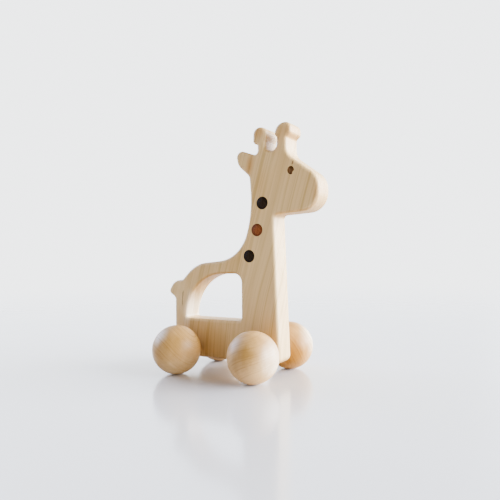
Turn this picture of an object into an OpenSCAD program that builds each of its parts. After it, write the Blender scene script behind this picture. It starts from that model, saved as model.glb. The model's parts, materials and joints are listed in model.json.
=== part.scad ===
// Push-along giraffe: one thick board cut to a giraffe's outline, rolling on four wooden balls.
// Millimetres. +X is the way the giraffe looks, Y runs across the board, +Z is up.
// The origin is on the floor, under the middle of the toy.

/* [Board] */
// Length of the board, from the tip of the tail to the snout
board_l = 137; // [130:0.5:145]
// Height of the board, from its underside to the tops of the horns
board_h = 181; // [165:0.5:195]
// Thickness of the board
board_t = 20; // [17:0.5:24]
// Radius of the rounded-over edges
edge_r = 2.4; // [1:0.1:2.4]
// Height of the board's underside above the floor
ground_gap = 10.5; // [7:0.5:12]

/* [Finger opening] */
// Distance from the board's rear edge to the opening
opening_x = 11.5; // [10:0.5:13]
// Distance from the board's underside to the opening
opening_z = 31; // [29:0.5:33]
// Length of the opening
opening_l = 53.5; // [48:0.5:56]
// Height of the opening at the neck
opening_h = 37; // [33:0.5:38]

/* [Spots and eye] */
// Diameter of the inlaid spots
spot_d = 9.5; // [6:0.5:12]
// Width of the eye
eye_w = 5.4; // [4.6:0.1:6]
// Height of the eye
eye_h = 6.2; // [5.4:0.1:7]
// Depth of the eye in each face
eye_depth = 0.4; // [0.2:0.1:1]
// Diameter of the bright bite at the rim of the eye
bite_d = 4.4; // [3.6:0.1:4.8]

/* [Balls and axles] */
// Diameter of the balls
ball_d = 38.1; // [34:0.1:42]
// Gap between each ball and the board
ball_gap = 0.8; // [0.5:0.1:2]
// Distance between the two axles
wheelbase = 69.5; // [62:0.5:70]
// Distance from the board's rear edge to the rear axle
rear_axle_in = 17.5; // [16:0.5:18]
// Diameter of the axles
axle_d = 6.35; // [5:0.05:7]
// Room round an axle in the board, on the radius
axle_play = 0.08; // [0.02:0.01:0.1]
// Depth of the blind hole in a ball
ball_hole = 15; // [10:0.5:20]

/* [Smoothness] */
// Largest turn between two points of an arc, in degrees
arc_turn = 9; // [6:1:12]
// Largest step along an arc
arc_step = 4; // [3:0.5:6]
// Number of strips across a rounded-over edge
edge_strips = 4; // [3:1:5]

/* [Hidden] */
$fn = 64;

// Colours of the woods
maple = [0.80, 0.69, 0.53];
walnut = [0.18, 0.13, 0.11];
redwood = [0.55, 0.27, 0.14];
beech = [0.78, 0.66, 0.48];
birch = [0.84, 0.73, 0.56];

// Corners of the outline as [x, z, corner radius], measured from the board's lower rear corner.
// They run clockwise, as seen with the giraffe looking right.
rump = [[0, 0, 4], [0, 47.5, 4]];
tail = [[-7, 52, 3], [-2, 61, 9], [7.5, 62.5, 3.5]];
back_and_neck = [[21, 75.5, 28], [64, 79.5, 30], [75, 115, 85]];
ear = [[73, 143, 6], [63, 152, 10], [60, 165.5, 4.5], [80.5, 158, 3]];
rear_horn = [
    [80.5, 166.5, 2], [76.5, 168, 3], [77, 180, 5.5], [89, 179.5, 6], [88.5, 172.5, 4], [87.5, 168.5, 3],
    [87.5, 161, 4]
];
front_horn = [
    [97, 160, 5], [97, 170, 3], [95, 173, 2.5], [97, 181, 8], [109, 181, 5], [109, 172.5, 3.5],
    [105.5, 169.5, 2.5]
];
head = [[105.5, 157, 10], [131.5, 138, 15.5], [130.5, 114.5, 14.5], [94.5, 112.5, 3]];
chest = [[98.5, 0, 5.5]];
outline = concat(rump, tail, back_and_neck, ear, rear_horn, front_horn, head, chest);

// The opening is flat below, upright at the neck and one wide arch over the rump.
// The arch's rear side leans in as it rises, and its top slopes down a little to the rear.
arch_lean = 1.5;
arch_slope = 1;
arch_r = opening_h - arch_lean;
opening = [
    [opening_x, opening_z, 2],
    [opening_x + arch_lean, opening_z + opening_h - arch_slope, arch_r],
    [opening_x + opening_l, opening_z + opening_h, 7],
    [opening_x + opening_l, opening_z, 3.5]
];

// Places on the board's faces, measured as the outline is
upper_spot_at = [84.7, 121.7];
middle_spot_at = [80, 101.4];
lower_spot_at = [72.8, 81.5];
eye_at = [109.1, 144.4];
bite_out = [0.63 * eye_w, -0.39 * eye_h];

// A corner's arc as [point, unit vector to the left of the way round]
function unit(v) = v / norm(v);
function plan(corner) = [corner.x, corner.y];
function turned(v, w) = [cos(w) * v.x - sin(w) * v.y, sin(w) * v.x + cos(w) * v.y];
function arc(before, corner, after) = let (
        way_in = unit(plan(corner) - plan(before)),
        way_out = unit(plan(after) - plan(corner)),
        turn = atan2(cross(way_in, way_out), way_in * way_out),
        r = corner.z,
        start = plan(corner) - way_in * r * tan(abs(turn) / 2),
        left = [-way_in.y, way_in.x],
        centre = start + sign(turn) * r * left,
        steps = max(2, ceil(abs(turn) / arc_turn), ceil(r * abs(turn) * PI / 180 / arc_step))
    )
    [for (k = [0 : steps]) let (side = turned(left, turn * k / steps)) [centre - sign(turn) * r * side, side]];

// All the arcs of a closed chain of corners, joined by straight runs
function rounded(corners) = let (n = len(corners))
    [for (i = [0 : n - 1]) each arc(corners[(i + n - 1) % n], corners[i], corners[(i + 1) % n])];

outline_path = rounded(outline);
opening_path = rounded(opening);

// The board's own box as drawn, and how far it stretches to the length and height above
drawn_x = [for (p = outline_path) p[0].x];
drawn_z = [for (p = outline_path) p[0].y];
stretch_x = board_l / (max(drawn_x) - min(drawn_x));
stretch_z = board_h / (max(drawn_z) - min(drawn_z));
rear_x = -board_l / 2 - min(drawn_x) * stretch_x;

// Axles and balls
axle_z = ball_d / 2;
ball_y = board_t / 2 + ball_gap + ball_d / 2;
rear_axle_x = rear_x + rear_axle_in;
front_axle_x = rear_axle_x + wheelbase;
axle_bore_d = axle_d + 2 * axle_play;
glue_room = 0.5;
axle_l = board_t + 2 * (ball_gap + ball_hole - glue_room);
axle_chamfer = 0.6;

// How far a cut runs past the face that it opens
cut_past = 1;
through = board_t + 2 * cut_past;

// A slab along the path, with a quarter round at both faces.
// A way of 1 rounds an outer edge inwards, and -1 flares an opening outwards.
module slab(path, way) {
    n = len(path);
    quarter = [for (k = [0 : edge_strips]) let (w = 90 * k / edge_strips)
        [edge_r * (1 - sin(w)), edge_r * (1 - cos(w)) - board_t / 2]];
    rows = concat(quarter, [for (k = [edge_strips : -1 : 0]) [quarter[k].x, -quarter[k].y]]);
    points = [for (row = rows, p = path) let (q = p[0] - way * row.x * p[1]) [q.x, row.y, q.y]];
    last = len(rows) - 1;
    wall = [for (k = [0 : last - 1], i = [0 : n - 1]) let (j = (i + 1) % n)
        [k * n + i, (k + 1) * n + i, (k + 1) * n + j, k * n + j]];
    front = [for (i = [0 : n - 1]) i];
    back = [for (i = [n - 1 : -1 : 0]) last * n + i];
    polyhedron(points, concat([front], wall, [back]));
}

// Puts its children at a place on the board, with their Z axis across it
module on_board(at) {
    translate([rear_x + at.x * stretch_x, 0, ground_gap + at.y * stretch_z])
        rotate([90, 0, 0])
            children();
}

module on_axle(x) {
    translate([x, 0, axle_z])
        rotate([90, 0, 0])
            children();
}

// The eye's upright oval with a bite out of its rim, sunk in both faces
module eye_recess() {
    for (face = [-1, 1]) {
        translate([0, 0, face * board_t / 2]) {
            difference() {
                scale([eye_w / eye_h, 1, 1])
                    cylinder(d = eye_h, h = 2 * eye_depth, center = true);
                translate(bite_out)
                    cylinder(d = bite_d, h = 3 * eye_depth, center = true);
            }
        }
    }
}

module giraffe_body() {
    color(maple)
        difference() {
            translate([rear_x, 0, ground_gap])
                resize([board_l, board_t, board_h])
                    difference() {
                        slab(outline_path, 1);
                        slab(opening_path, -1);
                    }
            for (at = [upper_spot_at, middle_spot_at, lower_spot_at])
                on_board(at)
                    cylinder(d = spot_d, h = through, center = true);
            for (x = [front_axle_x, rear_axle_x])
                on_axle(x)
                    cylinder(d = axle_bore_d, h = through, center = true);
            on_board(eye_at)
                eye_recess();
        }
}

// A dowel glued through the board and flush with both faces
module spot(at, wood) {
    color(wood)
        on_board(at)
            cylinder(d = spot_d, h = board_t, center = true);
}

module upper_spot() {
    spot(upper_spot_at, walnut);
}

module middle_spot() {
    spot(middle_spot_at, redwood);
}

module lower_spot() {
    spot(lower_spot_at, walnut);
}

// A dowel with chamfered ends, turned about its own length
module axle(x) {
    end = axle_l / 2;
    color(birch)
        on_axle(x)
            rotate_extrude()
                polygon([
                    [0, -end], [axle_d / 2 - axle_chamfer, -end], [axle_d / 2, axle_chamfer - end],
                    [axle_d / 2, end - axle_chamfer], [axle_d / 2 - axle_chamfer, end], [0, end]
                ]);
}

module front_axle() {
    axle(front_axle_x);
}

module rear_axle() {
    axle(rear_axle_x);
}

// A ball with a blind hole towards the board; the side is 1 on the giraffe's left and -1 on its right
module ball(x, side) {
    color(beech)
        translate([x, side * ball_y, axle_z])
            rotate([side * 90, 0, 0])
                difference() {
                    sphere(d = ball_d);
                    translate([0, 0, ball_d / 2 - ball_hole])
                        cylinder(d = axle_d, h = ball_hole + cut_past);
                }
}

module front_left_ball() {
    ball(front_axle_x, 1);
}

module front_right_ball() {
    ball(front_axle_x, -1);
}

module rear_left_ball() {
    ball(rear_axle_x, 1);
}

module rear_right_ball() {
    ball(rear_axle_x, -1);
}

giraffe_body();
upper_spot();
middle_spot();
lower_spot();
front_axle();
front_left_ball();
front_right_ball();
rear_axle();
rear_left_ball();
rear_right_ball();
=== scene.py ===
"""Push-along wooden giraffe: the finished surfaces of its board, inlaid spots, axles and balls."""
import json
import math

import bpy
import numpy as np
from mathutils import Matrix, Vector
from mathutils.geometry import delaunay_2d_cdt


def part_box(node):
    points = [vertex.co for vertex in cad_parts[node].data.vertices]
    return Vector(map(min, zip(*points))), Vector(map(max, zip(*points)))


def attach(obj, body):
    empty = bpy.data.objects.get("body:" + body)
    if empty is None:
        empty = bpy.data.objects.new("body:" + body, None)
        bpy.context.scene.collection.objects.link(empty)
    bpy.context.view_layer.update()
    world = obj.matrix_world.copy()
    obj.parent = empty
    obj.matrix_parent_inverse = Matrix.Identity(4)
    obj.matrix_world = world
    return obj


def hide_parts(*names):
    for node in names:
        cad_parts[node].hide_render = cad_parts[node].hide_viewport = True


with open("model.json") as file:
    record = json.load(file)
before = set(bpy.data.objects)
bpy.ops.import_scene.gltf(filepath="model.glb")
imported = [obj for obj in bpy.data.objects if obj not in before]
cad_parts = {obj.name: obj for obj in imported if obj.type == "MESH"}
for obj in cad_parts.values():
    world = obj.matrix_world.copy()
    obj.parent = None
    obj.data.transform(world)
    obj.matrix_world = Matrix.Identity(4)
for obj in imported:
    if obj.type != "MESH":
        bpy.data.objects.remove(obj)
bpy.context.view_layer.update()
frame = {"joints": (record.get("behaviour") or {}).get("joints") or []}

# Driving sizes in metres. A mouth is the chamfer at a hole's end, and play is the room round a dowel.
# The chamfers of a spot and of its hole meet in a fine glue line.
MM = 0.001
EDGE_R = 2.4 * MM
EYE_W = 5.4 * MM
EYE_H = 6.2 * MM
EYE_DEPTH = 0.4 * MM
BITE_D = 4.4 * MM
SPOT_PLAY = 0.02 * MM
GLUE_LINE = 0.12 * MM
AXLE_PLAY = 0.08 * MM
AXLE_MOUTH = 0.3 * MM
AXLE_CHAMFER = 0.6 * MM
BALL_HOLE = 15 * MM
BALL_MOUTH = 0.4 * MM

# Corners as [x, z, corner radius] in millimetres from the board's lower rear corner.
# They run clockwise, as seen with the giraffe looking right.
RUMP = [[0, 0, 4], [0, 47.5, 4]]
TAIL = [[-7, 52, 3], [-2, 61, 9], [7.5, 62.5, 3.5]]
BACK_AND_NECK = [[21, 75.5, 28], [64, 79.5, 30], [75, 115, 85]]
EAR = [[73, 143, 6], [63, 152, 10], [60, 165.5, 4.5], [80.5, 158, 3]]
REAR_HORN = [
    [80.5, 166.5, 2], [76.5, 168, 3], [77, 180, 5.5], [89, 179.5, 6], [88.5, 172.5, 4], [87.5, 168.5, 3],
    [87.5, 161, 4],
]
FRONT_HORN = [
    [97, 160, 5], [97, 170, 3], [95, 173, 2.5], [97, 181, 8], [109, 181, 5], [109, 172.5, 3.5],
    [105.5, 169.5, 2.5],
]
HEAD = [[105.5, 157, 10], [131.5, 138, 15.5], [130.5, 114.5, 14.5], [94.5, 112.5, 3]]
CHEST = [[98.5, 0, 5.5]]
OUTLINE = RUMP + TAIL + BACK_AND_NECK + EAR + REAR_HORN + FRONT_HORN + HEAD + CHEST
OPENING = [[11.5, 31, 2], [13, 67, 35.5], [65, 68, 7], [65, 31, 3.5]]

# The eye's middle, measured as the outline is, and the middle of its bite, measured from there in metres
EYE_AT = (109.1, 144.4)
BITE_OUT = np.array([0.63 * EYE_W, -0.39 * EYE_H])
# The eye's sunk bowl from rim to middle, as rows of [share of the rim, share of the depth]
EYE_BOWL = np.array([[1, 0], [0.97, 0.5], [0.92, 0.9], [0.85, 1], [0.4, 1], [0, 1]])

# Places that the frame gives: the board's corners, half its thickness, and each axle's middle by its body
board_low, board_high = (np.array(corner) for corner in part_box("giraffe_body"))
half_t = board_high[1]
axle_at = {joint["child"]: np.array(joint["pos_m"]) for joint in frame["joints"]}

# The camera: its lens in millimetres, its place and roll as seen from its aim, that aim, forward and up
# from the floor midway between the axles, and the nearest that it sees
LENS = 37.44
CAMERA_AZIMUTH = math.radians(30.62)
CAMERA_ELEVATION = math.radians(-0.564)
CAMERA_ROLL = math.radians(-0.513)
CAMERA_DISTANCE = 410.4 * MM
AIM_FORWARD = 15.56 * MM
AIM_HEIGHT = 96.84 * MM
NEAREST_SEEN = 10 * MM

# Steps of a corner's arc, and points across a rounded edge and round the eye
ARC_STEPS = 16
EDGE_POINTS = 9
EYE_POINTS = 72
# Sides of a dowel or a hole and of a ball, and a ball's rows on its outer and inner half
ROUND_SIDES = 96
BALL_SIDES = 128
OUTER_ROWS = 36
INNER_ROWS = 33
# Points that agree to this many decimals of a metre are welded into one
WELD_DECIMALS = 7
# A flat face is cut into triangles inside its rings, and points this close, in metres, are one
TRIANGLES_INSIDE = 1
SAME_POINT = 1e-9
# Places in a piece's list of materials: its wood, and on the board the char of the eyes
WOOD = 0
CHAR = 1

# Colours of the pale woods, as the shader takes them: pale wood, late wood, warm clouds and cut ends
MAPLE = ((0.70, 0.48, 0.23), (0.50, 0.315, 0.113), (0.63, 0.38, 0.125), (0.60, 0.37, 0.145))
BEECH = ((0.59, 0.37, 0.16), (0.40, 0.222, 0.072), (0.52, 0.29, 0.092), (0.49, 0.278, 0.105))
BIRCH = ((0.74, 0.56, 0.35), (0.58, 0.40, 0.22), (0.66, 0.46, 0.26), (0.60, 0.42, 0.24))
# Patches and marks in the pale woods; most of the patch colours are painted light and shade
RUST = (0.56, 0.29, 0.09)
HONEY = (0.54, 0.32, 0.115)
# Painted shade: golden patches that darken a ball where it should get less light
GOLD_PAINTED_SHADE = (0.40, 0.22, 0.06)
# Orange wood, also painted shade on the far front ball's side by the board
AMBER_WOOD_AND_PAINTED_SHADE = (0.38, 0.17, 0.028)
# Painted light: cream patches that lighten the rump and a ball's lower side
CREAM_PAINTED_LIGHT = (0.80, 0.585, 0.32)
# Painted light: pale patches for lit sides, painted highlights and a painted reflection
PALE_PAINTED_LIGHT = (0.84, 0.69, 0.50)
# Painted shade for surfaces that face down
PAINTED_UNDERSIDE_SHADE = (0.44, 0.235, 0.07)
STREAK_BROWN = (0.22, 0.115, 0.05)
# The dark and the light tone of each spot's wood
WALNUT = ((0.014, 0.008, 0.0035), (0.052, 0.031, 0.015))
REDWOOD = ((0.160, 0.051, 0.018), (0.310, 0.107, 0.039))
# Burnt wood in the eye
SCORCH_BROWN = (0.138, 0.068, 0.026)
SCORCH_TAN = (0.220, 0.118, 0.054)
SCORCH_BLACK = (0.076, 0.036, 0.009)

# How strongly a surface shines
OILED = 0.5
DULL = 0.1
# Roughness at both ends of the stretch of noise that it follows
ROUGH_STRETCH = (0.2, 0.8)
BOARD_ROUGH = (0.37, 0.51)
BALL_ROUGH = (0.38, 0.52)
AXLE_ROUGH = (0.55, 0.69)
SPOT_ROUGH = (0.42, 0.58)
SCORCH_ROUGH = (0.55, 0.75)
# Strength and depth of each fine relief, and what fibres and rings give to that of the pale woods
TIMBER_RELIEF = (0.18, 0.12 * MM)
PORE_RELIEF = (0.2, 0.1 * MM)
SCORCH_RELIEF = (0.4, 0.15 * MM)
FIBRE_RISE = 0.6
RING_RISE = 0.4

# Lie of the board's grain: its slope forward, the height below which it stands up, how fast it does so,
# the slant of its rings through the thickness, their width, and how much they show
GRAIN_SLOPE = 0.30
GRAIN_HEIGHT = 70 * MM
GRAIN_CURL = 2.4
RING_SLANT = 0.55
BOARD_RING_GAP = 3.2 * MM
BOARD_RING_SHARE = 0.6
# The axles' grain: a point of the pith line from the axle's middle, the fibres' way, and the rings
AXLE_PITH = np.array([0, 0, 30]) * MM
AXLE_FIBRES = (0, 1, 0)
AXLE_RING_GAP = 2 * MM
AXLE_RING_SHARE = 0.5

# Noise that is drawn out along the fibres: blotches to the metre across and along them, and detail
RING_SWAY = (22.0, 6.0, 2.0)
FIBRES = (1100.0, 34.0, 3.0)
BANDS = (170.0, 6.0, 2.0)
CLOUDS = (30.0, 14.0, 2.0)
PATCH_RIM = (150.0, 40.0, 2.0)
# Even noise: blotches to the metre, and detail
STREAK_WAVER = (260.0, 2.0)
MOTTLE = (700.0, 4.0)
CHAR_SPECKS = (900.0, 3.0)
TABLE_HAZE = (9.0, 3.0)
# Pores to the metre in the spots, then the scale, bending and detail of their close rings
PORES = 2600.0
CLOSE_RINGS = {"Scale": 320.0, "Distortion": 3.0, "Detail": 2.0}
# How many rings the sway moves, how many the seasons do, and the seasons' noise by the ring
SWAY_RINGS = 3.0
SEASON_RINGS = 2.8
SEASONS = {"Scale": 0.45, "Detail": 1.0}

# How patterns become shares: both ends of a stretch of the pattern, then the share at both ends.
# Late wood rises and drops with the place in a ring, and a ring's strength goes with its drawn number.
LATE_RISE = (0.45, 0.85, 0.0, 1.0)
LATE_DROP = (0.86, 1.0, 1.0, 0.0)
RING_STRENGTH = (0.0, 1.0, 0.25, 1.0)
# Bands, fibres and clouds go with their noise
BAND_TONE = (0.35, 0.75, 0.0, 0.3)
FIBRE_TONE = (0.35, 0.8, 0.0, 0.22)
CLOUD_TONE = (0.5, 0.75, 0.0, 0.5)
# Cut ends go with how far the surface faces along the fibres, and the painted underside shade with how far
# it faces up
CUT_END_TONE = (0.6, 0.95, 0.0, 0.45)
PAINTED_UNDERSIDE_SHADE_TONE = (-0.1, -0.75, 0.0, 0.6)
# A patch fades outwards from its middle, a streak from its line, its own middle and the board's face
PATCH_FADE = (0.1, 1.0, 1.0, 0.0)
STREAK_SIDES = (0.2, 1.0, 1.0, 0.0)
STREAK_ENDS = (0.5, 1.0, 1.0, 0.0)
STREAK_DEPTH = (0.2, 0.5, 1.0, 0.0)
# Mottle goes with its noise, and a spot's rim with the way out from its middle
MOTTLE_TONE = (0.3, 0.7, 0.0, 0.7)
RIM_TONE = (0.5, 1.0, 0.0, 0.6)
# Tan in the eye goes with its specks, which also thin the black that grows up and down from its middle
TAN_TONE = (0.3, 0.75, 0.0, 1.0)
BLACK_TONE = (0.2, 0.7, 0.6, 1.0)
BURNT_TOP = (0.0, 0.4 * EYE_H, 0.0, 1.0)
BURNT_FOOT = (-0.2 * EYE_H, -0.45 * EYE_H, 0.0, 1.0)
# The ceiling and the light from below go with the upward part of the way from the toy
CEILING_RISE = (0.3, 0.85, 0.0, 1.0)
BELOW_DROP = (0.0, -0.08, 0.0, 1.0)
# The whole swing that noise gives to a patch's rim and a streak's line, in their half sizes
PATCH_RAGS = 0.9
STREAK_SWING = 3.0
# The stretch of a pore's distance over which it fades, and what it leaves of the dark tone
PORE_FADE = (0.12, 0.4)
PORE_DARK = 0.35
# How much a spot's close rings tell, and how much the eye's burnt top leans forward
CLOSE_RING_SHARE = 0.3
BURNT_LEAN = 0.55

# Soft patches in the board, placed as the outline is: place and half size in millimetres, share, colour.
# The rust and honey patches are the wood's own colour; the cream and pale ones are painted light.
BOARD_PATCHES_AND_PAINTED_LIGHT = (
    ((74, 150), (5, 14), 0.75, RUST),
    ((82, 176), (8, 8), 0.55, RUST),
    ((98, 168), (5, 18), 0.55, RUST),
    ((108, 174), (8, 12), 0.5, RUST),
    ((133, 128), (8, 22), 0.5, RUST),
    ((41, 11), (28, 25), 0.6, HONEY),
    # Painted light: paler patches that lift the rump and the opening's rear wall
    ((4, 42), (16, 42), 0.7, CREAM_PAINTED_LIGHT),
    ((14, 39), (6, 20), 0.9, PALE_PAINTED_LIGHT),
)
# They lean forward a little, and are so deep, in metres, that they show alike on both faces
PATCH_LEAN = math.radians(8)
RIGHT_THROUGH = 1.0
# Dark streaks in the near face: place, half length and half width in millimetres, lean in degrees, share
BOARD_STREAKS = (
    ((8.5, 47), 8, 0.7, 6, 0.75),
    ((110.7, 149.9), 1.8, 0.5, 16, 1.0),
)

# Each spot's wood, its tones and how much its pores show
SPOT_WOODS = {
    "upper_spot": ("walnut", WALNUT, 0.6),
    "middle_spot": ("redwood", REDWOOD, 0.5),
    "lower_spot": ("walnut", WALNUT, 0.6),
}

# Each ball's wood: a point of the pith line from the ball's middle in millimetres, the way of the fibres,
# the width of its rings in millimetres, how much they show, its tint, and how strongly it shines.
# The tints are partly each ball's own wood and partly painted shade, darker for a ball that should get less
# light
BALL_CUTS = {
    "front_left_ball": ((20, 12, 24), (0.55, 0.10, -0.60), 1.5, 1.2, (1.02, 0.93, 0.80), 0.25),
    "front_right_ball": ((-11, -6.5, 30), (0.82, -0.12, 0.42), 2.6, 0.45, (1.05, 1.03, 1.0), 0.55),
    "rear_left_ball": ((-22, 12, -20), (0.5, 0.6, 0.4), 2.4, 0.7, (0.96, 0.95, 0.92), 0.55),
    "rear_right_ball": ((13.8, 8.2, 27.7), (0.89, -0.30, -0.35), 1.5, 0.8, (0.92, 0.87, 0.75), 0.3),
}
# Soft patches in the balls, mostly painted light and shade: pale for lit sides, painted highlights and a
# painted reflection, cream for painted light from below, gold for painted shade, and amber for orange wood
# with painted shade. Place from the ball's middle and half size in millimetres, lean in degrees, share and
# colour
BALL_PATCHES_AND_PAINTED_LIGHT = {
    "front_left_ball": (
        ((14, -13, -7), (24, 19, 26), 0, 0.95, AMBER_WOOD_AND_PAINTED_SHADE),
        ((17, 8, 8), (20, 18, 27), 0, 0.95, PALE_PAINTED_LIGHT),
    ),
    "front_right_ball": (
        ((6, 0, 5.5), (14, 100, 24), 52, 1.0, GOLD_PAINTED_SHADE),
        ((22, 0, 0), (11, 100, 30), 0, 0.9, PALE_PAINTED_LIGHT),
    ),
    "rear_left_ball": (),
    "rear_right_ball": (
        ((11, 0, 6), (15, 100, 12), 10, 0.8, GOLD_PAINTED_SHADE),
        ((14, 0, -12), (26, 100, 13), -14, 0.75, CREAM_PAINTED_LIGHT),
        ((-5, -14, 12), (9, 12, 10), 0, 0.6, PALE_PAINTED_LIGHT),
    ),
}

# The table: its colour and gloss, its roughness at both ends of a stretch of haze, and how far from
# the toy it starts to fade and is gone, in metres
TABLE_WHITE = (0.70, 0.665, 0.62)
TABLE_IOR = 1.8
TABLE_ROUGH = (0.3, 0.7, 0.13, 0.17)
TABLE_FADE = (0.3, 1.4)

# Light of the room, as radiance: all round, overhead, from below, and what the camera sees behind the toy
ROOM = (0.62, 0.60, 0.56)
CEILING = (0.36, 0.34, 0.31)
BELOW = (0.5, 0.48, 0.45)
BACKDROP = (2.3, 2.35, 2.4)
# Its bright stretches: azimuth, elevation, core and rim in degrees, then radiance
GLOWS = (
    (195, 28, 55, 98, (2.5, 2.6, 2.7)),
    (-92, 32, 10, 30, (7.2, 8.8, 13.5)),
    (150, 16, 14, 38, (6.0, 6.4, 7.0)),
    (109.5, 8, 16, 42, (24.0, 26.8, 32.4)),
)


# Shapes

def unit(v):
    """Vectors along the last axis brought to length 1."""
    return v / np.linalg.norm(v, axis=-1, keepdims=True)


def rounded(corners):
    """A closed chain of straight runs, with an arc of its own radius at each corner, touching both runs.

    The arc's centre lies one radius to the side that the chain turns to, and the points swing about it by
    equal shares of the turn. Gives the points in metres and the unit vectors to the left of the way round.
    """
    corners = np.array(corners, float) * MM
    here, radius = corners[:, :2], corners[:, 2:]
    way_in = unit(here - np.roll(here, 1, 0))
    way_out = unit(np.roll(here, -1, 0) - here)
    cross = way_in[:, 0] * way_out[:, 1] - way_in[:, 1] * way_out[:, 0]
    turn = np.arctan2(cross, (way_in * way_out).sum(1))[:, None]
    left = np.stack([-way_in[:, 1], way_in[:, 0]], 1)
    centre = here - way_in * radius * np.tan(np.abs(turn) / 2) + np.sign(turn) * radius * left
    swing = turn * np.linspace(0, 1, ARC_STEPS + 1)
    cos, sin = np.cos(swing), np.sin(swing)
    side = np.stack([cos * left[:, :1] - sin * left[:, 1:], sin * left[:, :1] + cos * left[:, 1:]], -1)
    points = centre[:, None] - (np.sign(turn) * radius)[:, None] * side
    return points.reshape(-1, 2), side.reshape(-1, 2)


outline_path = rounded(OUTLINE)
opening_path = rounded(OPENING)
drawn_low, drawn_high = outline_path[0].min(0), outline_path[0].max(0)


def on_board(points):
    """Points in metres from the board's lower rear corner, carried to the board's own box in the frame."""
    share = (points - drawn_low) / (drawn_high - drawn_low)
    return board_low[[0, 2]] + share * (board_high - board_low)[[0, 2]]


def place_on_board(at):
    """The same for one place in millimetres."""
    return on_board(np.array(at) * MM)


def lifted(flat, y):
    """Points of the X-Z plane at the depth y."""
    return np.stack([flat[..., 0], np.broadcast_to(y, flat.shape[:-1]), flat[..., 1]], -1)


def strips(rows):
    """Quads between neighbouring closed rows of points, facing left of the way round if rows run to +Y."""
    count, size = rows.shape[:2]
    start = np.arange(count - 1)[:, None] * size
    here = np.arange(size)
    ahead = (here + 1) % size
    quads = np.stack([start + here, start + ahead, start + size + ahead, start + size + here], -1)
    return rows.reshape(-1, 3), quads.reshape(-1, 4)


def edge_profile():
    """A quarter round at both faces, as rows of [way in from the edge, y].

    At a swing w a point lies r (1 - sin w) in from the edge and r (1 - cos w) in from the face. The swing
    goes with 3 s^2 - 2 s^3 over an even share s, so the strips are finest where it meets flat.
    """
    share = np.linspace(0, 1, EDGE_POINTS)
    swing = math.pi / 2 * share * share * (3 - 2 * share)
    quarter = np.stack([EDGE_R * (1 - np.sin(swing)), EDGE_R * (1 - np.cos(swing)) - half_t], 1)
    return np.concatenate([quarter, quarter[::-1] * [1, -1]])


def rounded_wall(path, way):
    """The edge profile carried along a path, whose points move aside by the profile's way in.

    A way of 1 rounds an outer edge, and -1 flares an opening.
    """
    points, side = path
    profile = edge_profile()
    flat = points - way * profile[:, None, :1] * side
    return strips(lifted(on_board(flat), profile[:, 1:]))


def face_ring(path, way):
    """Where a rounded wall meets the board's faces: the path moved aside by the edge's radius."""
    points, side = path
    return on_board(points - way * EDGE_R * side)


def around(count=ROUND_SIDES):
    """Unit vectors of the X-Z plane at equal turns, clockwise as seen from the near side."""
    swing = np.linspace(0, 2 * math.pi, count, endpoint=False)
    return np.stack([np.cos(swing), -np.sin(swing)], 1)


def turned(profile, centre, count=ROUND_SIDES):
    """A profile of [radius, y] turned about the Y axis through a centre, as a lathe turns it.

    Each point lies its radius out from the axis, along every one of the unit vectors around it.
    """
    profile = np.array(profile, float)
    flat = np.array(centre)[[0, 2]] + profile[:, None, :1] * around(count)
    return strips(lifted(flat, centre[1] + profile[:, 1:]))


def inside(edges_from, edges_to, middles):
    """Whether each point has an odd number of edges ahead, so lies in the outer ring and in no hole."""
    height = middles[:, None, 1]
    run, rise = (edges_to - edges_from).T
    straddles = (edges_from[:, 1] > height) != (edges_to[:, 1] > height)
    reach = edges_from[:, 0] + (height - edges_from[:, 1]) / np.where(rise == 0, 1, rise) * run
    return (straddles & (middles[:, None, 0] < reach)).sum(1) % 2 == 1


def flat_face(rings, facing):
    """A face of the board inside the first ring and outside the others; facing is -1 near and 1 far.

    It is cut into triangles between the rings' own points, and those in a hole are left out.
    """
    points = np.concatenate(rings)
    sizes = np.array([len(ring) for ring in rings])
    starts = np.repeat(np.cumsum(sizes) - sizes, sizes)
    index = np.arange(len(points))
    ahead = starts + (index - starts + 1) % np.repeat(sizes, sizes)
    corners = [Vector(point) for point in points]
    edges = np.stack([index, ahead], 1).tolist()
    _, _, faces, sources, _, _ = delaunay_2d_cdt(corners, edges, [], TRIANGLES_INSIDE, SAME_POINT)
    triangles = np.array([source[0] for source in sources])[np.array(faces)]
    triangles = triangles[inside(points, points[ahead], points[triangles].mean(1))]
    return lifted(points, facing * half_t), triangles[:, ::-facing]


def weld(surfaces):
    """Joins surfaces where their points meet, and turns the quads at a pole into triangles.

    Each surface is (points, faces, material's place, smooth). Gives the points, and one list of
    (faces, material's place, smooth).
    """
    every = np.concatenate([points for points, *_ in surfaces])
    close = np.round(every, WELD_DECIMALS)
    _, first, number = np.unique(close, axis=0, return_index=True, return_inverse=True)
    joined, start = [], 0
    for points, faces, place, smooth in surfaces:
        faces = number.reshape(-1)[faces + start]
        start += len(points)
        if faces.shape[1] == 3:
            joined.append((faces, place, smooth))
            continue
        near_pole = faces[:, 0] == faces[:, 1]
        far_pole = faces[:, 2] == faces[:, 3]
        joined.append((faces[~(near_pole | far_pole)], place, smooth))
        joined.append((faces[near_pole & ~far_pole][:, 1:], place, smooth))
        joined.append((faces[far_pole & ~near_pole][:, :3], place, smooth))
    return every[first], joined


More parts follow.
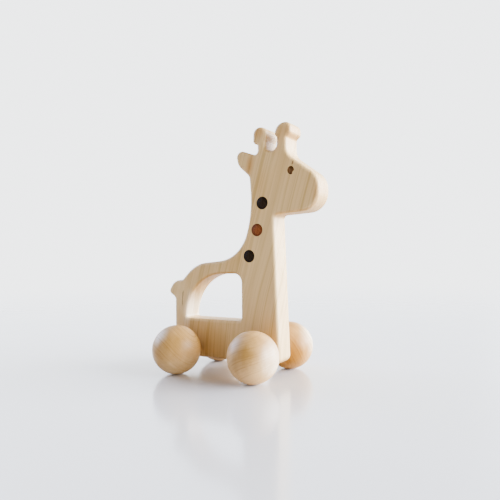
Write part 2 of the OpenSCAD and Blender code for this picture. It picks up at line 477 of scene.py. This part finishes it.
def piece(name, surfaces, materials, body, node):
    """One closed mesh from its surfaces, riding on a body in place of a CAD node."""
    points, joined = weld(surfaces)
    mesh = bpy.data.meshes.new(name)
    mesh.from_pydata(points.tolist(), [], [face for faces, *_ in joined for face in faces.tolist()])
    counts = [len(faces) for faces, *_ in joined]
    mesh.polygons.foreach_set("material_index", np.repeat([place for _, place, _ in joined], counts))
    mesh.polygons.foreach_set("use_smooth", np.repeat([smooth for *_, smooth in joined], counts))
    for material in materials:
        mesh.materials.append(material)
    made = bpy.data.objects.new(name, mesh)
    bpy.context.scene.collection.objects.link(made)
    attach(made, body)
    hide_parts(node)


# Shader nodes

def add(tree, kind, inputs=None, **settings):
    """One shader node; each input is a plain value or another node's output."""
    made = tree.nodes.new("ShaderNode" + kind)
    for key, value in settings.items():
        setattr(made, key, value)
    for key, value in (inputs or {}).items():
        if isinstance(value, bpy.types.NodeSocket):
            tree.links.new(value, made.inputs[key])
        else:
            made.inputs[key].default_value = value
    return made


def math_node(tree, operation, first, second=0.0):
    """The result of one operation on one or two values."""
    return add(tree, "Math", {0: first, 1: second}, operation=operation).outputs[0]


def plus(tree, first, second):
    """Two values added."""
    return math_node(tree, "ADD", first, second)


def minus(tree, first, second):
    """The second value taken from the first."""
    return math_node(tree, "SUBTRACT", first, second)


def times(tree, first, second):
    """Two values multiplied."""
    return math_node(tree, "MULTIPLY", first, second)


def divided(tree, first, second):
    """The first value divided by the second."""
    return math_node(tree, "DIVIDE", first, second)


def larger(tree, first, second):
    """The larger of two values."""
    return math_node(tree, "MAXIMUM", first, second)


def unsigned(tree, value):
    """A value without its sign."""
    return math_node(tree, "ABSOLUTE", value)


def between(tree, value, low, high, to_low, to_high):
    """A value eased from one stretch to another, and held at its ends."""
    inputs = {"Value": value, "From Min": low, "From Max": high, "To Min": to_low, "To Max": to_high}
    return add(tree, "MapRange", inputs, interpolation_type="SMOOTHSTEP").outputs["Result"]


def stretched(tree, vector, by):
    """A vector with each part multiplied by its own number."""
    return add(tree, "VectorMath", {0: vector, 1: by}, operation="MULTIPLY").outputs[0]


def length(tree, vector):
    """The length of a vector."""
    return add(tree, "VectorMath", {0: vector}, operation="LENGTH").outputs["Value"]


def along(tree, vector, way):
    """How far a vector reaches along a unit vector: their dot product."""
    return add(tree, "VectorMath", {0: vector, 1: way}, operation="DOT_PRODUCT").outputs["Value"]


def split(tree, vector):
    """The X, Y and Z of a vector."""
    return add(tree, "SeparateXYZ", {"Vector": vector}).outputs


def placed(tree, coords, middle, turn=(0, 0, 0), size=(1, 1, 1)):
    """Coordinates measured from a pattern's middle, turned back by its turn and divided by its size."""
    inputs = {"Vector": coords, "Location": tuple(middle), "Rotation": turn, "Scale": tuple(size)}
    return add(tree, "Mapping", inputs, vector_type="TEXTURE").outputs[0]


def noise(tree, vector, blotches, detail):
    """Even noise from 0 to 1, with so many blotches to the metre."""
    return add(tree, "TexNoise", {"Vector": vector, "Scale": blotches, "Detail": detail}).outputs["Fac"]


def drawn_out(tree, vector, across_fibres, along_fibres, detail):
    """Noise drawn out along the fibres, with so many blotches to the metre across them and along them."""
    return noise(tree, stretched(tree, vector, (across_fibres, across_fibres, along_fibres)), 1.0, detail)


def centred(tree, value):
    """Noise from 0 to 1 moved to lie evenly about 0."""
    return minus(tree, value, 0.5)


def mixed(tree, share, first, second, blend="MIX"):
    """Two colours mixed by a share from 0 to 1."""
    made = add(tree, "Mix", {"Factor": share}, data_type="RGBA", blend_type=blend)
    for name, value in (("A", first), ("B", second)):
        socket = next(s for s in made.inputs if s.name == name and s.type == "RGBA")
        if isinstance(value, bpy.types.NodeSocket):
            tree.links.new(value, socket)
        else:
            socket.default_value = (*value, 1.0)
    return next(s for s in made.outputs if s.type == "RGBA")


def surface_normal(tree):
    """The way that the surface faces, in the object's own frame."""
    return add(tree, "TexCoord").outputs["Normal"]


def new_material(name):
    """A new material, its nodes, its shader and its Object coordinates."""
    material = bpy.data.materials.new(name)
    material.use_nodes = True
    tree = material.node_tree
    shader = tree.nodes["Principled BSDF"]
    return material, tree, shader, add(tree, "TexCoord").outputs["Object"]


def dress(tree, shader, colour, roughness, shine, height, strength, depth):
    """Gives a shader its colour and roughness, one shine all over, and a fine relief."""
    relief = add(tree, "Bump", {"Height": height, "Strength": strength, "Distance": depth})
    tree.links.new(colour, shader.inputs["Base Color"])
    tree.links.new(roughness, shader.inputs["Roughness"])
    tree.links.new(relief.outputs["Normal"], shader.inputs["Normal"])
    shader.inputs["Specular IOR Level"].default_value = shine


# Finishes

def patch(tree, coords, middle, half_size, lean):
    """A soft patch of colour, for the wood or for painted light and shade: 1 in the middle of a leaning
    ellipsoid, fading to 0 at its ragged rim.
    """
    away = length(tree, placed(tree, coords, middle, (0, lean, 0), half_size))
    ragged = times(tree, centred(tree, drawn_out(tree, coords, *PATCH_RIM)), PATCH_RAGS)
    return between(tree, plus(tree, away, ragged), *PATCH_FADE)


def streak(tree, coords, middle, half_long, half_wide, lean):
    """A thin mark along the fibres in the near face: 1 on its line, fading to 0 at its sides and ends.

    Noise moves the line aside, so that it wavers, and the mark fades with depth in the board.
    """
    half_size = (half_wide, half_t, half_long)
    axes = split(tree, placed(tree, coords, lifted(middle, -half_t), (0, lean, 0), half_size))
    waver = times(tree, centred(tree, noise(tree, coords, *STREAK_WAVER)), STREAK_SWING)
    line = between(tree, unsigned(tree, plus(tree, axes["X"], waver)), *STREAK_SIDES)
    ends = between(tree, unsigned(tree, axes["Z"]), *STREAK_ENDS)
    near = between(tree, unsigned(tree, axes["Y"]), *STREAK_DEPTH)
    return times(tree, times(tree, line, ends), near)


def board_marks_and_painted_light(tree, coords):
    """Soft patches right through the board, some of them painted light, dark streaks in its near face, and
    painted shade on its underside.
    """
    touches = []
    for at, half_size, share, colour in BOARD_PATCHES_AND_PAINTED_LIGHT:
        middle = lifted(place_on_board(at), 0)
        reach = lifted(np.array(half_size) * MM, RIGHT_THROUGH)
        soft = patch(tree, coords, middle, reach, PATCH_LEAN)
        touches.append((times(tree, soft, share), colour))
    for at, half_long, half_wide, lean, share in BOARD_STREAKS:
        middle = place_on_board(at)
        dark = streak(tree, coords, middle, half_long * MM, half_wide * MM, math.radians(lean))
        touches.append((times(tree, dark, share), STREAK_BROWN))
    # Painted shade: the more a surface faces down, the darker it is made
    upward = split(tree, surface_normal(tree))["Z"]
    touches.append((between(tree, upward, *PAINTED_UNDERSIDE_SHADE_TONE), PAINTED_UNDERSIDE_SHADE))
    return touches


def ball_patches_and_painted_light(name, centre):
    """The soft patches in one ball, which are painted light and shade."""
    def touches(tree, coords):
        made = []
        # Each patch lays painted light or painted shade into the ball's colour
        for at, half_size, lean, share, colour in BALL_PATCHES_AND_PAINTED_LIGHT[name]:
            middle = centre + np.array(at) * MM
            soft = patch(tree, coords, middle, np.array(half_size) * MM, math.radians(lean))
            made.append((times(tree, soft, share), colour))
        return made
    return touches


def no_touches(tree, coords):
    """Plain wood, with no patch or mark."""
    return []


def board_grain(tree, coords):
    """How far a point of the board lies across its rings, its place along the fibres, and the fibres' way.

    The fibres lean forward by a slope as they rise, and less and less below a height: along each of them
    x - slope z - curl (height - z)^2 stays the same. Through the thickness the rings run aslant, which adds
    a share of y.
    """
    axes = split(tree, coords)
    below = larger(tree, minus(tree, GRAIN_HEIGHT, axes["Z"]), 0.0)
    curl = times(tree, times(tree, below, below), GRAIN_CURL)
    upright = minus(tree, axes["X"], plus(tree, times(tree, axes["Z"], GRAIN_SLOPE), curl))
    across = plus(tree, upright, times(tree, axes["Y"], RING_SLANT))
    local = add(tree, "CombineXYZ", {"X": upright, "Y": axes["Y"], "Z": axes["Z"]}).outputs[0]
    return across, local, Vector((GRAIN_SLOPE, 0, 1)).normalized()


def trunk_grain(pith, fibres):
    """The same for a piece cut from a trunk, whose rings lie round a pith line through a point."""
    def grain(tree, coords):
        turn = Vector(fibres).to_track_quat("Z", "Y").to_euler()
        local = placed(tree, coords, pith, turn)
        across = length(tree, stretched(tree, local, (1, 1, 0)))
        return across, local, Vector(fibres).normalized()
    return grain


def growth_rings(tree, across, local, ring_gap):
    """The late wood of each ring: 0 in its pale part, rising over its width and dropping at the next ring.

    Rings are counted across the grain. Drawn-out noise sways them, and noise over the count makes lean and
    fat seasons. Each ring has a strength of its own, drawn from its number.
    """
    count = divided(tree, across, ring_gap)
    sway = times(tree, drawn_out(tree, local, *RING_SWAY), SWAY_RINGS)
    seasons = add(tree, "TexNoise", {"W": count, **SEASONS}, noise_dimensions="1D").outputs["Fac"]
    phase = plus(tree, plus(tree, count, sway), times(tree, seasons, SEASON_RINGS))
    place = math_node(tree, "FRACT", phase)
    number = math_node(tree, "FLOOR", phase)
    drawn = add(tree, "TexWhiteNoise", {"W": number}, noise_dimensions="1D").outputs["Value"]
    late = times(tree, between(tree, place, *LATE_RISE), between(tree, place, *LATE_DROP))
    return times(tree, late, between(tree, drawn, *RING_STRENGTH))


def timber(name, tones, grain, ring_gap, ring_share, rough, shine=OILED, touches=no_touches):
    """Oiled pale wood: growth rings, fibres along the grain, slow clouds of colour, and darker cut ends.

    Fibre noise is drawn out along the grain, and moves colour, roughness and relief together. Where the
    surface faces along the fibres, their cut ends have taken up more oil. Touches are pairs of a share and
    a colour, which lie under the rings.
    """
    pale, late, warm, cut = tones
    material, tree, shader, coords = new_material(name)
    across, local, fibres_way = grain(tree, coords)
    ring = growth_rings(tree, across, local, ring_gap)
    fibre = drawn_out(tree, local, *FIBRES)
    band = drawn_out(tree, local, *BANDS)
    cloud = drawn_out(tree, local, *CLOUDS)
    tone = times(tree, ring, ring_share)
    tone = plus(tree, tone, between(tree, band, *BAND_TONE))
    tone = plus(tree, tone, between(tree, fibre, *FIBRE_TONE))
    end_on = unsigned(tree, along(tree, surface_normal(tree), fibres_way))
    colour = mixed(tree, between(tree, cloud, *CLOUD_TONE), pale, warm)
    for share, touch in touches(tree, coords):
        colour = mixed(tree, share, colour, touch)
    colour = mixed(tree, tone, colour, np.divide(late, pale), "MULTIPLY")
    colour = mixed(tree, between(tree, end_on, *CUT_END_TONE), colour, cut)
    roughness = between(tree, fibre, *ROUGH_STRETCH, *rough)
    height = plus(tree, times(tree, fibre, FIBRE_RISE), times(tree, ring, RING_RISE))
    dress(tree, shader, colour, roughness, shine, height, *TIMBER_RELIEF)
    return material


def end_grain(name, tones, centre, radius, pore_share):
    """A dowel's cut end: fine pores scattered over close rings, a darker rim, and a faint sheen of oil."""
    dark, light = tones
    material, tree, shader, coords = new_material(name)
    local = placed(tree, coords, centre)
    pores = add(tree, "TexVoronoi", {"Vector": local, "Scale": PORES}).outputs["Distance"]
    mottle = noise(tree, local, *MOTTLE)
    waves = {"Vector": local, **CLOSE_RINGS}
    rings = add(tree, "TexWave", waves, bands_direction="DIAGONAL").outputs["Fac"]
    tone = plus(tree, between(tree, mottle, *MOTTLE_TONE), times(tree, rings, CLOSE_RING_SHARE))
    pore = between(tree, pores, *PORE_FADE, pore_share, 0.0)
    away = divided(tree, length(tree, stretched(tree, local, (1, 0, 1))), radius)
    rim = between(tree, away, *RIM_TONE)
    colour = mixed(tree, tone, dark, light)
    colour = mixed(tree, larger(tree, pore, rim), colour, np.multiply(dark, PORE_DARK))
    roughness = between(tree, mottle, *ROUGH_STRETCH, *SPOT_ROUGH)
    dress(tree, shader, colour, roughness, DULL, pores, *PORE_RELIEF)
    return material


def scorched(name, middle):
    """Burnt wood in the eye: brown, and darker where the hot tip dwelt, at its upper front and its foot."""
    material, tree, shader, coords = new_material(name)
    local = placed(tree, coords, lifted(middle, 0))
    axes = split(tree, local)
    upper_front = plus(tree, times(tree, axes["X"], BURNT_LEAN), axes["Z"])
    top = between(tree, upper_front, *BURNT_TOP)
    foot = between(tree, axes["Z"], *BURNT_FOOT)
    specks = noise(tree, local, *CHAR_SPECKS)
    black = times(tree, larger(tree, top, foot), between(tree, specks, *BLACK_TONE))
    colour = mixed(tree, between(tree, specks, *TAN_TONE), SCORCH_BROWN, SCORCH_TAN)
    colour = mixed(tree, black, colour, SCORCH_BLACK)
    roughness = between(tree, specks, *ROUGH_STRETCH, *SCORCH_ROUGH)
    dress(tree, shader, colour, roughness, DULL, specks, *SCORCH_RELIEF)
    return material


def lacquered(name):
    """Pale lacquer with a faint haze in its gloss, which fades out all round, far from the toy."""
    material, tree, shader, coords = new_material(name)
    haze = noise(tree, coords, *TABLE_HAZE)
    away = length(tree, coords)
    tree.links.new(between(tree, haze, *TABLE_ROUGH), shader.inputs["Roughness"])
    tree.links.new(between(tree, away, *TABLE_FADE, 1.0, 0.0), shader.inputs["Alpha"])
    shader.inputs["Base Color"].default_value = (*TABLE_WHITE, 1.0)
    shader.inputs["IOR"].default_value = TABLE_IOR
    return material


# Pieces

def node_round(node):
    """Centre, radius across X and half length along Y of a round CAD node."""
    low, high = (np.array(corner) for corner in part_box(node))
    return (low + high) / 2, (high - low)[0] / 2, (high - low)[1] / 2


def eye_outline():
    """An upright oval with a round bite: each ray from its middle ends at the rim or, nearer, at the bite.

    Along a unit ray d the rim is 1 / |(2 d_x / width, 2 d_z / height)| away, and the bite of radius b
    about g starts where s^2 - 2 s (d.g) + g.g - b^2 = 0 first has a root.
    """
    rays = around(EYE_POINTS)
    rim = 1 / np.linalg.norm(rays / [EYE_W / 2, EYE_H / 2], axis=1)
    toward = rays @ BITE_OUT
    room = toward ** 2 - BITE_OUT @ BITE_OUT + (BITE_D / 2) ** 2
    bite = np.where((room > 0) & (toward > 0), toward - np.sqrt(np.maximum(room, 0)), rim)
    return rays * np.minimum(bite, rim)[:, None]


def hole_wall(centre, radius, mouth):
    """A round hole right through the board, with a small chamfer at both mouths."""
    profile = [
        [radius + mouth, half_t], [radius, half_t - mouth],
        [radius, mouth - half_t], [radius + mouth, -half_t],
    ]
    return turned(profile, [centre[0], 0, centre[2]])


def hole_ring(centre, radius, mouth):
    """Where such a hole meets the board's faces."""
    return centre[[0, 2]] + (radius + mouth) * around()


def board_surfaces(holes):
    """The rounded outer wall, the flared wall of the finger opening, the holes, both faces and both eyes.

    Each hole is (centre, radius, mouth). Each surface is (points, faces, material's place, smooth).
    """
    eye = place_on_board(EYE_AT)
    eye_rim = eye_outline()
    bowl = eye + EYE_BOWL[:, None, :1] * eye_rim
    bowl_y = half_t - EYE_DEPTH * EYE_BOWL[:, 1:]
    rings = [face_ring(outline_path, 1), face_ring(opening_path, -1), eye + eye_rim]
    opening_points, opening_quads = rounded_wall(opening_path, -1)
    surfaces = [
        (*rounded_wall(outline_path, 1), WOOD, True),
        (opening_points, opening_quads[:, ::-1], WOOD, True),
    ]
    for hole in holes:
        rings.append(hole_ring(*hole))
        surfaces.append((*hole_wall(*hole), WOOD, True))
    for facing in (-1, 1):
        surfaces.append((*flat_face(rings, facing), WOOD, False))
        points, quads = strips(lifted(bowl, facing * bowl_y))
        surfaces.append((points, quads[:, ::facing], CHAR, True))
    return surfaces


def dowel_profile(radius, half_l, chamfer):
    """A dowel with chamfered ends, as rows of [radius, y] from the middle of one end to the other's."""
    return [
        [0, -half_l], [radius - chamfer, -half_l], [radius, chamfer - half_l],
        [radius, half_l - chamfer], [radius - chamfer, half_l], [0, half_l],
    ]


def ball_profile(ball_r, hole_r):
    """A ball from its outer pole round to a chamfered blind hole that faces +Y, as rows of [radius, y].

    At a swing w from the pole the skin is [r sin w, -r cos w]. The chamfer of the mouth, the hole's wall
    and its floor are straight runs.
    """
    to_mouth = math.pi - math.asin((hole_r + BALL_MOUTH) / ball_r)
    outer = np.linspace(0, math.pi / 2, OUTER_ROWS, endpoint=False)
    inner = np.linspace(math.pi / 2, to_mouth, INNER_ROWS)
    swing = np.concatenate([outer, inner])
    skin = np.stack([ball_r * np.sin(swing), -ball_r * np.cos(swing)], 1)
    floor_y = ball_r - BALL_HOLE
    hole = [[hole_r, skin[-1, 1] - BALL_MOUTH], [hole_r, floor_y], [0, floor_y]]
    return np.concatenate([skin, hole])


def turned_piece(name, profile, centre, sides, wood, body, node):
    """A piece that is one turned profile in one wood."""
    piece(name, [(*turned(profile, centre, sides), WOOD, True)], [wood], body, node)


def build_board():
    """The giraffe's board, with its finger opening, its holes and its burnt eyes."""
    spots = [node_round(name) for name in SPOT_WOODS]
    axle_r = node_round("front_axle")[1]
    holes = [(centre, radius + SPOT_PLAY, GLUE_LINE) for centre, radius, _ in spots]
    holes += [(centre, axle_r + AXLE_PLAY, AXLE_MOUTH) for centre in axle_at.values()]
    maple = timber("oiled_maple_board", MAPLE, board_grain, BOARD_RING_GAP, BOARD_RING_SHARE, BOARD_ROUGH,
                   touches=board_marks_and_painted_light)
    char = scorched("scorched_eye", place_on_board(EYE_AT))
    piece("giraffe_board", board_surfaces(holes), [maple, char], "giraffe", "giraffe_body")


def build_spots():
    """The three dowels inlaid through the neck."""
    for name, (wood, tones, pore_share) in SPOT_WOODS.items():
        centre, radius, half_l = node_round(name)
        cut = end_grain(f"{wood}_{name}", tones, centre, radius, pore_share)
        profile = dowel_profile(radius, half_l, GLUE_LINE)
        turned_piece(name + "_inlay", profile, centre, ROUND_SIDES, cut, "giraffe", name)


def build_axle(body, axle):
    """One axle's dowel."""
    centre, radius, half_l = node_round(axle)
    grain = trunk_grain(centre + AXLE_PITH, AXLE_FIBRES)
    birch = timber(axle + "_dowel_wood", BIRCH, grain, AXLE_RING_GAP, AXLE_RING_SHARE, AXLE_ROUGH)
    profile = dowel_profile(radius, half_l, AXLE_CHAMFER)
    turned_piece(axle + "_dowel", profile, centre, ROUND_SIDES, birch, body, axle)


def build_ball(body, name, hole_r, way):
    """One ball, whose hole faces +Y for a way of 1 and -Y for -1.

    The hole cuts off the ball's tip, so the ball's middle lies a little past the middle of its CAD box.
    """
    centre, ball_r, half_l = node_round(name)
    centre[1] += way * (ball_r - half_l)
    pith, fibres, ring_gap, ring_share, tint_and_painted_shade, shine = BALL_CUTS[name]
    grain = trunk_grain(centre + np.array(pith) * MM, fibres)
    # The tint is partly painted shade: lit and shaded copies of the same beech
    tones = (np.array(BEECH) * tint_and_painted_shade).tolist()
    beech = timber(name + "_wood", tones, grain, ring_gap * MM, ring_share, BALL_ROUGH, shine,
                   ball_patches_and_painted_light(name, centre))
    profile = ball_profile(ball_r, hole_r)
    profile = profile if way > 0 else profile[::-1] * [1, -1]
    turned_piece(name + "_turned", profile, centre, BALL_SIDES, beech, body, name)


def build_wheels(body, end):
    """One axle and its two balls, which turn as one."""
    axle = f"{end}_axle"
    axle_r = node_round(axle)[1]
    build_axle(body, axle)
    build_ball(body, f"{end}_left_ball", axle_r, -1)
    build_ball(body, f"{end}_right_ball", axle_r, 1)


# Stage

def looking(azimuth, elevation):
    """The unit vector from the toy towards an azimuth and an elevation; azimuth 0 is on the near side."""
    level = math.cos(elevation)
    return Vector((math.sin(azimuth) * level, -math.cos(azimuth) * level, math.sin(elevation)))


def build_camera():
    """The camera at the photograph's place, with its small roll."""
    back = looking(CAMERA_AZIMUTH, CAMERA_ELEVATION)
    right = Vector((math.cos(CAMERA_AZIMUTH), math.sin(CAMERA_AZIMUTH), 0))
    up = back.cross(right)
    rolled_right = math.cos(CAMERA_ROLL) * right + math.sin(CAMERA_ROLL) * up
    rolled_up = math.cos(CAMERA_ROLL) * up - math.sin(CAMERA_ROLL) * right
    middle_x = (axle_at["front_wheels"][0] + axle_at["rear_wheels"][0]) / 2
    aim = Vector((middle_x + AIM_FORWARD, 0, AIM_HEIGHT))
    data = bpy.data.cameras.new("photo_camera")
    data.lens = LENS
    data.clip_start = NEAREST_SEEN
    camera = bpy.data.objects.new("photo_camera", data)
    turn = Matrix((rolled_right, rolled_up, back)).transposed().to_4x4()
    camera.matrix_world = Matrix.Translation(aim + CAMERA_DISTANCE * back) @ turn
    bpy.context.scene.collection.objects.link(camera)
    bpy.context.scene.camera = camera


def build_table():
    """A flat table top under the toy, as wide as its fade."""
    mesh = bpy.data.meshes.new("table_top")
    corners = np.array([[-1, -1, 0], [1, -1, 0], [1, 1, 0], [-1, 1, 0]]) * TABLE_FADE[1]
    mesh.from_pydata(corners.tolist(), [], [[0, 1, 2, 3]])
    mesh.materials.append(lacquered("pale_lacquer"))
    made = bpy.data.objects.new("table_top", mesh)
    bpy.context.scene.collection.objects.link(made)


def glow(tree, direction, azimuth, elevation, core, rim):
    """1 in the core of a bright stretch of the room as seen from the toy, easing to 0 at its rim."""
    middle = looking(math.radians(azimuth), math.radians(elevation))
    toward = along(tree, direction, middle)
    return between(tree, toward, math.cos(math.radians(rim)), math.cos(math.radians(core)), 0.0, 1.0)


def build_light():
    """Soft light from all round: bright on the right and behind, with a cool window high on the left."""
    world = bpy.data.worlds.new("pale_room")
    bpy.context.scene.world = world
    world.use_nodes = True
    tree = world.node_tree
    direction = add(tree, "TexCoord").outputs["Generated"]
    upward = split(tree, direction)["Z"]
    colour = ROOM
    for *stretch, radiance in GLOWS:
        colour = mixed(tree, glow(tree, direction, *stretch), colour, radiance)
    colour = mixed(tree, between(tree, upward, *CEILING_RISE), colour, CEILING)
    colour = mixed(tree, between(tree, upward, *BELOW_DROP), colour, BELOW)
    colour = mixed(tree, add(tree, "LightPath").outputs["Is Camera Ray"], colour, BACKDROP)
    tree.links.new(colour, tree.nodes["Background"].inputs["Color"])
    bpy.context.scene.view_settings.view_transform = "AgX"
    bpy.context.scene.view_settings.look = "AgX - Medium High Contrast"


build_camera()
build_table()
build_light()
build_board()
build_spots()
build_wheels("front_wheels", "front")
build_wheels("rear_wheels", "rear")
